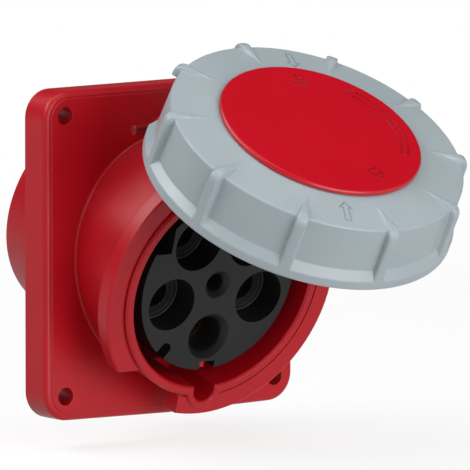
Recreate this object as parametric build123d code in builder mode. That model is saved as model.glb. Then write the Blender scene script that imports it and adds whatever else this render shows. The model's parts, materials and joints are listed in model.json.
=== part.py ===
from build123d import *
import os
from math import asin, cos, degrees, radians, sin

os.makedirs("parts", exist_ok=True)

# Industrial panel socket, open lid. Millimetres and degrees.
# Origin: centre of the bolt pattern on the flange's rear face. Front is -Y, +Z is up.

# Flange
flange_width = 119.0
flange_height = 128.5
flange_thickness = 14.0
flange_corner = 11.0
flange_edge_round = 2.2
flange_keel = 1.0
flange_panel_inset = 2.9
flange_panel_rise = 0.35
flange_front_wall = 5.0
flange_rim = 6.0
bolt_inset_x = 9.25
bolt_inset_z = 9.5
bolt_hole_radius = 3.5
bolt_boss_radius = 8.0

# Panel seal, set in a groove in the flange's rear face
seal_inset = 2.0
seal_width = 2.3
seal_depth = 2.0
seal_clearance = 0.05

# Sloped tube and its rim
socket_slope = 16.8
rim_reach = 44.0
tube_length = 84.3
tube_radius = 45.4
bore_radius = 41.6
rim_chamfer = 0.8
tube_foot_round = 0.8

# Bayonet collar: a full flange with two opposite corner gaps
lug_radius = 53.5
lug_setback = 1.2
lug_thickness = 7.3
lug_edge_round = 0.8
lug_gap_x = 11.5
lug_gap_y = 32.2
rim_groove_width = 1.0
rim_groove_depth = 0.8

# Keyway at the bottom of the bore
keyway_width = 9.7
keyway_floor = 47.7
keyway_wall = 3.2
keyway_depth = 30.0

# Shoulder that carries the insert
shoulder_front = 43.5
shoulder_back = 50.0
shoulder_radius = 34.4

# Contact insert
insert_face = 4.0
insert_radius = 35.7
insert_neck_clearance = 0.4
insert_flange_thickness = 4.0
carrier_clearance = 0.4
corner_notch_x = 25.2
corner_notch_y = 15.0
corner_notch_depth = 20.0
side_slot_angle = 232.0
side_slot_width = 4.8
side_slot_floor = 29.8
key_notch_floor = 32.4
key_notch_left = 1.8
key_notch_right = 5.3
key_rib_width = 3.3
key_rib_clearance = 0.3
key_rib_setback = 2.0

# Contacts, on a circle around the pilot
contact_circle_radius = 21.85
earth_angle = 270.0
contact_angles = {"l1": 198.0, "l2": 126.0, "l3": 54.0, "n": 342.0}
contact_bore_radius = 5.0
earth_bore_radius = 6.0
pilot_bore_radius = 3.0
sleeve_wall = 2.0
pilot_wall = 1.4
contact_start = 28.0
earth_start = 21.0
pilot_start = 20.0
contact_stop = 48.0
spring_room = 1.3
collar_overhang = 1.7
collar_thickness = 3.5
collar_clearance = 0.2
sleeve_slot = 1.0
sleeve_slot_length = 16.0
sleeve_front_room = 0.5
entry_lead = 1.0
recess_radius = 10.75
recess_depth = 12.4
earth_mouth_radius = 9.6
pilot_mouth_radius = 5.85

# Spring rings on the slotted sleeves
spring_setback = 2.0
spring_length = 4.0
spring_thickness = 0.8
spring_clearance = 0.05
spring_split = 1.6
spring_split_turn = 45.0

# Terminals behind the insert
base_flange_thickness = 4.0
base_body_thickness = 6.0
base_body_radius = 35.5
terminal_clearance = 0.3
terminal_end = 82.0
pilot_terminal_end = 77.0
wire_bore_depth = 15.0
clamp_screw_radius = 2.4
pilot_clamp_radius = 1.6
pilot_clamp_angle = 90.0
clamp_screw_length = 9.0
pilot_clamp_length = 4.5
clamp_screw_first = 4.0
clamp_screw_pitch = 7.0
clamp_slot = 0.8
clamp_slot_depth = 1.2
thread_clearance = 0.05

# Screws that hold insert and terminal base to the shoulder
insert_screw_circle_radius = 38.0
insert_screw_angles = (45.0, 135.0, 225.0, 315.0)
insert_screw_radius = 1.5
insert_screw_bite = 4.5
insert_screw_head_radius = 2.6
insert_screw_head = 2.0
screw_hole_clearance = 0.2
screw_recess = 0.9
screw_recess_radius = 1.2

# Hinge
hinge_rise = 58.5
hinge_setback = 26.0
pin_radius = 2.0
pin_seat_clearance = 0.04
pin_running_clearance = 0.07
pin_head_radius = 3.6
pin_head = 1.6
pin_head_round = 0.5
pin_tail = 13.0
clip_radius = 3.8
clip_thickness = 0.8
clip_groove_depth = 0.5
clip_mouth = 2.4
ear_inner = 17.5
ear_thickness = 7.0
ear_radius = 4.6
ear_foot_front = 17.0
ear_foot_back = 25.0
ear_foot_rise = 36.0
barrel_radius = 4.2
barrel_side_clearance = 0.4

# Lid at rest: opened from the rim, with the ring's window round the hinge arm
lid_opening = 75.6
ring_travel = 35.0
arm_width = 18.0
arm_thickness = 3.8
arm_offset = 1.7
arm_plate_thickness = 4.5
arm_corner_round = 3.0
hinge_angle = 90.0
window_margin_angle = 1.5

# Lid plate and its seal, heights in front of the closed rim
lid_plate_bottom = 0.8
lid_plate_top = 6.5
lid_plate_clearance = 1.7
lid_seal_inner = 40.3
lid_seal_outer = 46.7
lid_seal_bottom = 0.4
lid_seal_top = 3.1
lid_seal_clearance = 0.1
lid_pocket_radius = 36.0
lid_pocket_roof = 4.3

# Cover disc and the screws that pull it onto the plate
cover_radius = 40.6
cover_thickness = 1.8
cover_edge_round = 1.2
cover_boss_radius = 36.5
cover_boss_wall = 3.5
cover_post_radius = 4.0
cover_post_circle_radius = 27.5
lid_screw_angles = (45.0, 135.0, 225.0, 315.0)
lid_screw_radius = 1.5
lid_screw_length = 6.8
lid_screw_head_radius = 2.9
lid_screw_head = 1.8

# Locking ring
ring_clearance = 0.4
ring_bore_clearance = 0.5
ring_top_inner = 12.9
ring_top_outer = 10.6
ring_seat_margin = 1.0
ring_skirt_clearance = 2.7
ring_wall = 3.4
ring_wall_draft = 0.5
ring_lip_reach = 2.8
ring_lip_bottom = -15.4
ring_lip_height = 3.8
ring_ledge_height = 3.6
ring_top_round = 1.5
rib_count = 10
rib_phase = 268.0
rib_width = 4.6
rib_round = 0.9
rib_flank_angle = 40.0
rib_inner = 45.0
rib_rise = 1.3
rib_corner = 2.4
rib_root = 2.0
ring_lug_radius = 49.0
ring_lug_gap_x = 0.8
ring_lug_gap_y = 3.2
ring_lug_axial_clearance = 0.4

# Frames of the socket and of the open lid
across = Vector(1, 0, 0)
socket_axis = Vector(0, -cos(radians(socket_slope)), -sin(radians(socket_slope)))
socket_up = socket_axis.cross(across)
flange_middle = Vector(0, -flange_thickness / 2, 0)
rim_centre = flange_middle + socket_axis * rim_reach
rim_plane = Plane(rim_centre, x_dir=across, z_dir=socket_axis)
socket_side = Plane(rim_centre, x_dir=socket_axis, z_dir=-across)
hinge_point = rim_centre + socket_up * hinge_rise - socket_axis * hinge_setback
hinge_plane = Plane(hinge_point, x_dir=(0, 1, 0), z_dir=across)
hinge_in_side = (-hinge_setback, hinge_rise)
lid_tilt = radians(lid_opening - socket_slope)
lid_axis = Vector(0, -cos(lid_tilt), sin(lid_tilt))
lid_back = lid_axis.cross(across)
lid_centre = hinge_point - lid_back * hinge_rise + lid_axis * hinge_setback
lid_plane = Plane(lid_centre, x_dir=across, z_dir=lid_axis)
lid_side = Plane(lid_centre, x_dir=lid_axis, z_dir=-across)
lid_turn = Axis(lid_centre, lid_axis)
socket_line = Axis(rim_centre, socket_axis)
tiny = 1e-4

# Depths, radii and spacings that several pieces share
insert_back = shoulder_back + insert_flange_thickness
base_flange_back = insert_back + base_flange_thickness
base_back = base_flange_back + base_body_thickness
carrier_radius = bore_radius - carrier_clearance
collar_front = insert_back - collar_thickness
lug_back = lug_setback + lug_thickness
ring_skirt_radius = lug_radius + ring_skirt_clearance
ring_wall_radius = ring_skirt_radius + ring_wall
ring_top_radius = ring_wall_radius - ring_wall_draft
ring_lip_radius = ring_wall_radius + ring_lip_reach
lid_plate_radius = ring_skirt_radius - lid_plate_clearance
arm_outer = hinge_rise + arm_offset
bolt_spacing_x = flange_width - 2 * bolt_inset_x
bolt_spacing_z = flange_height - 2 * bolt_inset_z
ear_outer = ear_inner + ear_thickness
clip_room = clip_thickness + 2 * thread_clearance


def behind_rim(depth):
    return rim_plane.offset(-depth)


def polar(radius, angle):
    return (radius * cos(radians(angle)), radius * sin(radians(angle)))


contact_points = [polar(contact_circle_radius, angle) for angle in contact_angles.values()]
earth_point = polar(contact_circle_radius, earth_angle)
insert_screw_points = [polar(insert_screw_circle_radius, angle) for angle in insert_screw_angles]
lid_screw_points = [polar(cover_post_circle_radius, angle) for angle in lid_screw_angles]


# Housing: flange, sloped tube, collar, keyway and hinge ears in one moulding
keyway_radius = keyway_width / 2
keyway_centre = keyway_floor - keyway_radius
bulge_radius = keyway_radius + keyway_wall
seal_slot = seal_width + 2 * seal_clearance
seal_outer_round = flange_corner - seal_inset
gap_reach = 2 * lug_radius

with BuildPart() as housing:
    with BuildSketch(Plane.XZ) as flange_outline:
        with BuildLine():
            Polyline(
                (-flange_width / 2, flange_height / 2),
                (flange_width / 2, flange_height / 2),
                (flange_width / 2, -flange_height / 2),
                (0, -flange_height / 2 - flange_keel),
                (-flange_width / 2, -flange_height / 2),
                close=True,
            )
        make_face()
        fillet(flange_outline.vertices().sort_by(Axis.Y)[1:], flange_corner)
    extrude(amount=flange_thickness - flange_panel_rise)
    fillet(housing.faces().sort_by(Axis.Y)[0].edges(), flange_edge_round)
    with BuildSketch(Plane.XZ.offset(flange_thickness - flange_panel_rise)):
        offset(flange_outline.sketch_local, amount=-flange_panel_inset)
    extrude(amount=flange_panel_rise)
    with BuildSketch(Plane.XZ):
        Rectangle(flange_width - 2 * flange_rim, flange_height - 2 * flange_rim)
        with GridLocations(bolt_spacing_x, bolt_spacing_z, 2, 2):
            Circle(bolt_boss_radius, mode=Mode.SUBTRACT)
    extrude(amount=flange_thickness - flange_front_wall, mode=Mode.SUBTRACT)
    with BuildSketch(Plane.XZ):
        RectangleRounded(flange_width - 2 * seal_inset, flange_height - 2 * seal_inset, seal_outer_round)
        RectangleRounded(
            flange_width - 2 * seal_inset - 2 * seal_slot,
            flange_height - 2 * seal_inset - 2 * seal_slot,
            seal_outer_round - seal_slot,
            mode=Mode.SUBTRACT,
        )
    extrude(amount=seal_depth, mode=Mode.SUBTRACT)
    with BuildSketch(Plane.XZ):
        with GridLocations(bolt_spacing_x, bolt_spacing_z, 2, 2):
            Circle(bolt_hole_radius)
    extrude(amount=flange_thickness, mode=Mode.SUBTRACT)

    with BuildSketch(rim_plane):
        Circle(tube_radius)
    extrude(amount=-tube_length)
    front_face = housing.faces().filter_by(Axis.Y).sort_by(Axis.Y)[0]
    tube_foot = front_face.inner_wires().sort_by(SortBy.LENGTH)[-1]
    fillet(tube_foot.edges(), tube_foot_round)
    with BuildSketch(rim_plane):
        with Locations((0, -keyway_centre)):
            Circle(bulge_radius)
    extrude(amount=-(keyway_depth + keyway_wall))
    with BuildSketch(behind_rim(lug_setback)):
        Circle(lug_radius)
        with Locations(
            (-lug_gap_x - gap_reach / 2, -lug_gap_y - gap_reach / 2),
            (lug_gap_x + gap_reach / 2, lug_gap_y + gap_reach / 2),
        ):
            Rectangle(gap_reach, gap_reach, mode=Mode.SUBTRACT)
    extrude(amount=-lug_thickness)
    lug_rims = housing.edges().filter_by(GeomType.CIRCLE).filter_by(
        lambda edge: abs(edge.radius - lug_radius) < tiny
    )
    fillet(lug_rims, lug_edge_round)
    with BuildSketch(behind_rim(lug_setback)):
        Circle(tube_radius + rim_groove_width)
        Circle(tube_radius, mode=Mode.SUBTRACT)
        with Locations((0, -keyway_centre)):
            Circle(bulge_radius, mode=Mode.SUBTRACT)
    extrude(amount=-rim_groove_depth, mode=Mode.SUBTRACT)

    with BuildSketch(socket_side.offset(ear_inner)):
        with Locations(hinge_in_side):
            Circle(ear_radius)
        with BuildLine():
            Line((-ear_foot_front, ear_foot_rise), (-ear_foot_back, ear_foot_rise))
        make_hull()
    ears = extrude(amount=ear_thickness)
    mirror(ears, about=Plane.YZ)
    with BuildSketch(hinge_plane):
        Circle(pin_radius + pin_seat_clearance)
    extrude(amount=ear_outer, both=True, mode=Mode.SUBTRACT)

    with BuildSketch(rim_plane):
        Circle(bore_radius)
    extrude(amount=-shoulder_front, mode=Mode.SUBTRACT)
    with BuildSketch(behind_rim(shoulder_front)):
        Circle(shoulder_radius)
    extrude(amount=-(shoulder_back - shoulder_front), mode=Mode.SUBTRACT)
    with BuildSketch(behind_rim(shoulder_back)):
        Circle(bore_radius)
    extrude(amount=-(tube_length - shoulder_back), mode=Mode.SUBTRACT)
    with BuildSketch(rim_plane):
        with Locations((0, -keyway_centre)):
            Circle(keyway_radius)
        with Locations((0, -keyway_centre / 2 - shoulder_radius / 2)):
            Rectangle(keyway_width, keyway_centre - shoulder_radius)
    extrude(amount=-keyway_depth, mode=Mode.SUBTRACT)
    chamfer(housing.faces().sort_by(socket_line)[-1].edges(), rim_chamfer)
    with BuildSketch(behind_rim(shoulder_back)):
        with Locations(*insert_screw_points):
            Circle(insert_screw_radius + thread_clearance)
    extrude(amount=insert_screw_bite, mode=Mode.SUBTRACT)

    rib_left = -key_notch_left + key_rib_clearance
    with BuildSketch(behind_rim(insert_face + key_rib_setback)):
        with Locations((rib_left + key_rib_width / 2, -key_notch_floor - key_rib_clearance)):
            Rectangle(
                key_rib_width,
                insert_radius - key_notch_floor - key_rib_clearance,
                align=(Align.CENTER, Align.MAX),
            )
    extrude(amount=-(shoulder_back - insert_face - key_rib_setback))
housing.part.label = "housing"
export_step(housing.part, "parts/housing.step")


# Rubber cord in the flange's rear groove
with BuildPart() as panel_gasket:
    seal_edge = seal_inset + seal_clearance
    seal_round = seal_outer_round - seal_clearance
    with BuildSketch(Plane.XZ):
        RectangleRounded(flange_width - 2 * seal_edge, flange_height - 2 * seal_edge, seal_round)
        RectangleRounded(
            flange_width - 2 * seal_edge - 2 * seal_width,
            flange_height - 2 * seal_edge - 2 * seal_width,
            seal_round - seal_width,
            mode=Mode.SUBTRACT,
        )
    extrude(amount=seal_depth)
panel_gasket.part.label = "panel_gasket"
export_step(panel_gasket.part, "parts/panel_gasket.step")


# Contact insert with recessed phase entries and straight earth and pilot entries
contact_outer = contact_bore_radius + sleeve_wall
earth_outer = earth_bore_radius + sleeve_wall
pilot_outer = pilot_bore_radius + pilot_wall
insert_neck_radius = shoulder_radius - insert_neck_clearance
recess_floor = insert_face + recess_depth
sleeve_room_front = contact_start - sleeve_front_room

with BuildPart() as contact_insert:
    with BuildSketch(behind_rim(insert_face)):
        Circle(insert_radius)
    extrude(amount=-(shoulder_front - insert_face - insert_neck_clearance))
    with BuildSketch(behind_rim(insert_face)):
        Circle(insert_neck_radius)
    extrude(amount=-(shoulder_back - insert_face))
    with BuildSketch(behind_rim(shoulder_back)):
        Circle(carrier_radius)
    extrude(amount=-insert_flange_thickness)

    with BuildSketch(behind_rim(insert_face)):
        with Locations((-corner_notch_x, corner_notch_y)):
            Rectangle(insert_radius, insert_radius, align=(Align.MAX, Align.MIN))
    extrude(amount=-corner_notch_depth, mode=Mode.SUBTRACT)
    with BuildSketch(behind_rim(insert_face)):
        slot_length = insert_radius - side_slot_floor
        with Locations(polar(side_slot_floor + side_slot_width / 2 + slot_length / 2, side_slot_angle)):
            SlotCenterToCenter(slot_length, side_slot_width, rotation=side_slot_angle)
    extrude(amount=-corner_notch_depth, mode=Mode.SUBTRACT)
    with BuildSketch(behind_rim(insert_face)):
        with Locations((-key_notch_left, -key_notch_floor)):
            Rectangle(
                key_notch_left + key_notch_right,
                insert_radius,
                align=(Align.MIN, Align.MAX),
            )
    extrude(amount=-(shoulder_back - insert_face), mode=Mode.SUBTRACT)

    with BuildSketch(behind_rim(insert_face)):
        with Locations(*contact_points):
            Circle(recess_radius)
    extrude(amount=-recess_depth, mode=Mode.SUBTRACT)
    with BuildSketch(behind_rim(recess_floor)):
        with Locations(*contact_points):
            Circle(contact_bore_radius + entry_lead)
    extrude(amount=-(sleeve_room_front - recess_floor), mode=Mode.SUBTRACT)
    with BuildSketch(behind_rim(sleeve_room_front)):
        with Locations(*contact_points):
            Circle(contact_outer + spring_room)
    extrude(amount=-(collar_front - sleeve_room_front), mode=Mode.SUBTRACT)
    with BuildSketch(behind_rim(collar_front)):
        with Locations(*contact_points):
            Circle(contact_outer + collar_overhang + collar_clearance)
    extrude(amount=-collar_thickness, mode=Mode.SUBTRACT)

    with BuildSketch(behind_rim(insert_face)):
        with Locations(earth_point):
            Circle(earth_mouth_radius)
        Circle(pilot_mouth_radius)
    extrude(amount=-(earth_start - insert_face), mode=Mode.SUBTRACT)
    for point, outer, start in ((earth_point, earth_outer, earth_start), ((0, 0), pilot_outer, pilot_start)):
        with BuildSketch(behind_rim(start)):
            with Locations(point):
                Circle(outer + spring_room)
        extrude(amount=-(collar_front - start), mode=Mode.SUBTRACT)
        with BuildSketch(behind_rim(collar_front)):
            with Locations(point):
                Circle(outer + collar_overhang + collar_clearance)
        extrude(amount=-collar_thickness, mode=Mode.SUBTRACT)
    with BuildSketch(behind_rim(shoulder_back)):
        with Locations(*insert_screw_points):
            Circle(insert_screw_radius + screw_hole_clearance)
    extrude(amount=-insert_flange_thickness, mode=Mode.SUBTRACT)
contact_insert.part.label = "contact_insert"
export_step(contact_insert.part, "parts/contact_insert.step")


# Terminal base behind the insert
with BuildPart() as terminal_base:
    with BuildSketch(behind_rim(insert_back)):
        Circle(carrier_radius)
    extrude(amount=-base_flange_thickness)
    with BuildSketch(behind_rim(base_flange_back)):
        Circle(base_body_radius)
        with Locations(*insert_screw_points):
            Circle(insert_screw_head_radius + carrier_clearance, mode=Mode.SUBTRACT)
    extrude(amount=-base_body_thickness)
    with BuildSketch(behind_rim(insert_back)):
        with Locations(*contact_points):
            Circle(contact_outer + terminal_clearance)
        with Locations(earth_point):
            Circle(earth_outer + terminal_clearance)
        Circle(pilot_outer + terminal_clearance)
        with Locations(*insert_screw_points):
            Circle(insert_screw_radius + screw_hole_clearance)
    extrude(amount=-(base_back - insert_back), mode=Mode.SUBTRACT)
terminal_base.part.label = "terminal_base"
export_step(terminal_base.part, "parts/terminal_base.step")


# Slotted sleeve with its collar and terminal, and the holes of its clamp screws
def make_sleeve(label, point, bore, wall, start, end, clamp_radius, clamp_depths, clamp_angle):
    outer = bore + wall
    with BuildPart() as sleeve:
        with BuildSketch(behind_rim(start)):
            with Locations(point):
                Circle(outer)
        extrude(amount=-(end - start))
        with BuildSketch(behind_rim(collar_front)):
            with Locations(point):
                Circle(outer + collar_overhang)
        extrude(amount=-collar_thickness)
        with BuildSketch(behind_rim(start)):
            with Locations(point):
                Circle(bore)
        extrude(amount=-(contact_stop - start), mode=Mode.SUBTRACT)
        with BuildSketch(behind_rim(end)):
            with Locations(point):
                Circle(bore)
        extrude(amount=wire_bore_depth, mode=Mode.SUBTRACT)
        with BuildSketch(behind_rim(start)):
            with Locations(point):
                Rectangle(2 * outer, sleeve_slot)
                Rectangle(sleeve_slot, 2 * outer)
        extrude(amount=-sleeve_slot_length, mode=Mode.SUBTRACT)
        with BuildSketch(*clamp_planes(point, clamp_depths, clamp_angle)):
            Circle(clamp_radius + thread_clearance)
        extrude(amount=outer, mode=Mode.SUBTRACT)
    sleeve.part.label = label
    export_step(sleeve.part, "parts/" + label + ".step")


# Planes across a sleeve, one for each clamp screw, facing away from the socket's axis
def clamp_planes(point, depths, angle):
    outward = across * cos(radians(angle)) + socket_up * sin(radians(angle))
    on_rim = rim_centre + across * point[0] + socket_up * point[1]
    return [Plane(on_rim - socket_axis * depth, x_dir=socket_axis, z_dir=outward) for depth in depths]


# Spring ring with a split, near the front of a sleeve
def make_spring(label, point, outer, start, angle):
    inner = outer + spring_clearance
    with BuildPart() as spring:
        with BuildSketch(behind_rim(start + spring_setback)):
            with Locations(point):
                Circle(inner + spring_thickness)
                Circle(inner, mode=Mode.SUBTRACT)
            with Locations((point[0] + polar(inner, angle)[0], point[1] + polar(inner, angle)[1])):
                Rectangle(outer, spring_split, rotation=angle, mode=Mode.SUBTRACT)
        extrude(amount=-spring_length)
    spring.part.label = label
    export_step(spring.part, "parts/" + label + ".step")


first_clamp = terminal_end - clamp_screw_first
clamp_depths = (first_clamp, first_clamp - clamp_screw_pitch)
pilot_clamp_depths = (pilot_terminal_end - clamp_screw_first,)

for name, angle in contact_angles.items():
    point = polar(contact_circle_radius, angle)
    make_sleeve(
        "contact_sleeve_" + name, point, contact_bore_radius, sleeve_wall, contact_start, terminal_end,
        clamp_screw_radius, clamp_depths, angle,
    )
    make_spring("contact_spring_" + name, point, contact_outer, contact_start, angle + spring_split_turn)
make_sleeve(
    "earth_sleeve", earth_point, earth_bore_radius, sleeve_wall, earth_start, terminal_end,
    clamp_screw_radius, clamp_depths, earth_angle,
)
make_spring("earth_spring", earth_point, earth_outer, earth_start, earth_angle + spring_split_turn)
make_sleeve(
    "pilot_sleeve", (0, 0), pilot_bore_radius, pilot_wall, pilot_start, pilot_terminal_end,
    pilot_clamp_radius, pilot_clamp_depths, pilot_clamp_angle,
)
make_spring("pilot_spring", (0, 0), pilot_outer, pilot_start, pilot_clamp_angle + spring_split_turn)


# Clamp screws of the terminals: slotted grub screws, backed out to the wall of the conductor bore
clamp_rows = [
    (contact_bore_radius, clamp_screw_radius, clamp_screw_length, clamp_planes(point, clamp_depths, angle))
    for point, angle in zip(contact_points, contact_angles.values())
]
earth_planes = clamp_planes(earth_point, clamp_depths, earth_angle)
pilot_planes = clamp_planes((0, 0), pilot_clamp_depths, pilot_clamp_angle)
clamp_rows.append((earth_bore_radius, clamp_screw_radius, clamp_screw_length, earth_planes))
clamp_rows.append((pilot_bore_radius, pilot_clamp_radius, pilot_clamp_length, pilot_planes))

with BuildPart() as terminal_screws:
    for bore, radius, length, planes in clamp_rows:
        with BuildSketch(*[plane.offset(bore) for plane in planes]):
            Circle(radius)
        extrude(amount=length)
        with BuildSketch(*[plane.offset(bore + length) for plane in planes]):
            Rectangle(2 * radius + clamp_slot, clamp_slot)
        extrude(amount=-clamp_slot_depth, mode=Mode.SUBTRACT)
terminal_screws.part.label = "terminal_screws"
export_step(terminal_screws.part, "parts/terminal_screws.step")


# Screws through terminal base and insert into the shoulder
with BuildPart() as insert_screws:
    with BuildSketch(behind_rim(base_flange_back)):
        with Locations(*insert_screw_points):
            Circle(insert_screw_radius)
    extrude(amount=base_flange_back - shoulder_back + insert_screw_bite)
    with BuildSketch(behind_rim(base_flange_back)):
        with Locations(*insert_screw_points):
            Circle(insert_screw_head_radius)
    extrude(amount=-insert_screw_head)
    with BuildSketch(behind_rim(base_flange_back + insert_screw_head)):
        with Locations(*insert_screw_points):
            RegularPolygon(screw_recess_radius, 6)
    extrude(amount=screw_recess, mode=Mode.SUBTRACT)
insert_screws.part.label = "insert_screws"
export_step(insert_screws.part, "parts/insert_screws.step")


# Hinge pin, pushed in from the right up to its head, and the clip that holds it inside the right ear
pin_end = ear_outer + pin_tail
clip_start = ear_inner - clip_room

with BuildPart() as hinge_pin:
    with BuildSketch(hinge_plane.offset(-pin_end)):
        Circle(pin_radius)
    extrude(amount=pin_end + ear_outer)
    with BuildSketch(hinge_plane.offset(ear_outer)):
        Circle(pin_head_radius)
    extrude(amount=pin_head)
    fillet(hinge_pin.faces().sort_by(Axis.X)[-1].edges(), pin_head_round)
    fillet(hinge_pin.faces().sort_by(Axis.X)[0].edges(), pin_head_round)
    with BuildSketch(hinge_plane.offset(clip_start)):
        Circle(2 * pin_radius)
        Circle(pin_radius - clip_groove_depth, mode=Mode.SUBTRACT)
    extrude(amount=clip_room, mode=Mode.SUBTRACT)
hinge_pin.part.label = "hinge_pin"
export_step(hinge_pin.part, "parts/hinge_pin.step")

with BuildPart() as pin_clip:
    with BuildSketch(hinge_plane.offset(clip_start + thread_clearance)):
        Circle(clip_radius)
        Circle(pin_radius - clip_groove_depth + thread_clearance, mode=Mode.SUBTRACT)
        Rectangle(clip_mouth, 2 * clip_radius, align=(Align.CENTER, Align.MAX), mode=Mode.SUBTRACT)
    extrude(amount=clip_thickness)
pin_clip.part.label = "pin_clip"
export_step(pin_clip.part, "parts/pin_clip.step")


# Lid plate: seal groove, screw pocket and the hinge arm with its barrel
arm_start = lid_seal_outer + 2 * lid_seal_clearance

with BuildPart() as lid_plate:
    with BuildSketch(lid_plane.offset(lid_plate_bottom)):
        Circle(lid_plate_radius)
    extrude(amount=lid_plate_top - lid_plate_bottom)
    with BuildSketch(lid_plane.offset(lid_plate_bottom)):
        Circle(lid_seal_outer + lid_seal_clearance)
        Circle(lid_seal_inner - lid_seal_clearance, mode=Mode.SUBTRACT)
    extrude(amount=lid_seal_top - lid_plate_bottom, mode=Mode.SUBTRACT)
    with BuildSketch(lid_plane.offset(lid_plate_bottom)):
        Circle(lid_pocket_radius)
    extrude(amount=lid_pocket_roof - lid_plate_bottom, mode=Mode.SUBTRACT)
    with BuildSketch(lid_plane.offset(lid_pocket_roof)):
        with Locations(*lid_screw_points):
            Circle(lid_screw_radius + screw_hole_clearance)
    extrude(amount=lid_plate_top - lid_pocket_roof, mode=Mode.SUBTRACT)
    with BuildSketch(lid_side) as arm_profile:
        with BuildLine():
            Polyline(
                (lid_plate_top, arm_start),
                (lid_plate_top, arm_outer),
                (-hinge_setback, arm_outer),
                (-hinge_setback, arm_outer - arm_thickness),
                (lid_plate_top - arm_plate_thickness, arm_outer - arm_thickness),
                (lid_plate_top - arm_plate_thickness, arm_start),
                close=True,
            )
        make_face()
        fillet(arm_profile.vertices().group_by(Axis.X)[-1].sort_by(Axis.Y)[-1], arm_corner_round)
    extrude(amount=arm_width / 2, both=True)
    with BuildSketch(hinge_plane.offset(barrel_side_clearance - ear_inner)):
        Circle(barrel_radius)
    extrude(amount=2 * ear_inner - 2 * barrel_side_clearance - clip_room)
    with BuildSketch(hinge_plane.offset(-ear_inner)):
        Circle(pin_radius + pin_running_clearance)
    extrude(amount=2 * ear_inner, mode=Mode.SUBTRACT)
lid_plate.part.label = "lid_plate"
export_step(lid_plate.part, "parts/lid_plate.step")


# Rubber ring that closes on the rim
with BuildPart() as lid_gasket:
    with BuildSketch(lid_plane.offset(lid_seal_bottom)):
        Circle(lid_seal_outer)
        Circle(lid_seal_inner, mode=Mode.SUBTRACT)
    extrude(amount=lid_seal_top - lid_seal_bottom)
lid_gasket.part.label = "lid_gasket"
export_step(lid_gasket.part, "parts/lid_gasket.step")


# Cover disc with its boss through the ring and its screw posts
cover_bottom = ring_top_inner + ring_clearance

with BuildPart() as lid_cover:
    with BuildSketch(lid_plane.offset(cover_bottom)):
        Circle(cover_radius)
    extrude(amount=cover_thickness)
    fillet(lid_cover.edges().sort_by(lid_turn)[-1], cover_edge_round)
    with BuildSketch(lid_plane.offset(lid_plate_top)):
        Circle(cover_boss_radius)
        Circle(cover_boss_radius - cover_boss_wall, mode=Mode.SUBTRACT)
        with Locations(*lid_screw_points):
            Circle(cover_post_radius)
    extrude(amount=cover_bottom - lid_plate_top)
    with BuildSketch(lid_plane.offset(lid_plate_top)):
        with Locations(*lid_screw_points):
            Circle(lid_screw_radius + thread_clearance)
    extrude(amount=lid_screw_length - lid_plate_top + lid_pocket_roof, mode=Mode.SUBTRACT)
lid_cover.part.label = "lid_cover"
export_step(lid_cover.part, "parts/lid_cover.step")


# Screws from inside the lid into the cover's posts
with BuildPart() as lid_screws:
    with BuildSketch(lid_plane.offset(lid_pocket_roof)):
        with Locations(*lid_screw_points):
            Circle(lid_screw_radius)
    extrude(amount=lid_screw_length)
    with BuildSketch(lid_plane.offset(lid_pocket_roof)):
        with Locations(*lid_screw_points):
            Circle(lid_screw_head_radius)
    extrude(amount=-lid_screw_head)
    with BuildSketch(lid_plane.offset(lid_pocket_roof - lid_screw_head)):
        with Locations(*lid_screw_points):
            RegularPolygon(screw_recess_radius, 6)
    extrude(amount=screw_recess, mode=Mode.SUBTRACT)
lid_screws.part.label = "lid_screws"
export_step(lid_screws.part, "parts/lid_screws.step")


# Locking ring: conical top, skirt with a ledge and a lip, ribs, two inner lugs
ring_bore = cover_boss_radius + ring_bore_clearance
ring_underside = lid_plate_top + ring_clearance
ledge_bottom = ring_lip_bottom + ring_lip_height
ledge_top = ledge_bottom + ring_ledge_height
seat_radius = cover_radius + ring_seat_margin
cone_drop = (ring_top_inner - ring_top_outer) / (ring_top_radius - seat_radius)
rib_inner_height = ring_top_inner - cone_drop * (rib_inner - seat_radius)


def rib_plane(angle):
    outward = across * cos(radians(angle)) + lid_back * sin(radians(angle))
    return Plane(lid_centre, x_dir=lid_axis, z_dir=lid_axis.cross(outward))


rib_outline = [
    (ledge_bottom, ring_lip_radius),
    (ring_top_outer + rib_rise - rib_corner, ring_lip_radius),
    (ring_top_outer + rib_rise, ring_lip_radius - rib_corner),
    (rib_inner_height, rib_inner),
    (ring_top_outer - rib_root, ring_top_radius - rib_root),
    (ledge_bottom, ring_wall_radius - rib_root),
]
rib_core = rib_width / 2 - rib_round
rib_planes = [rib_plane(rib_phase + 360 * k / rib_count) for k in range(rib_count)]
arm_half_angle = degrees(asin(arm_width / 2 / (arm_outer - arm_thickness)))
window_start = hinge_angle - arm_half_angle - window_margin_angle
window_end = hinge_angle + ring_travel + arm_half_angle + window_margin_angle
window_reach = 2 * ring_lip_radius
ring_lug_top = -lug_back - ring_lug_axial_clearance
ring_lug_x = lug_gap_x + ring_lug_gap_x
ring_lug_y = lug_gap_y + ring_lug_gap_y

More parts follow.
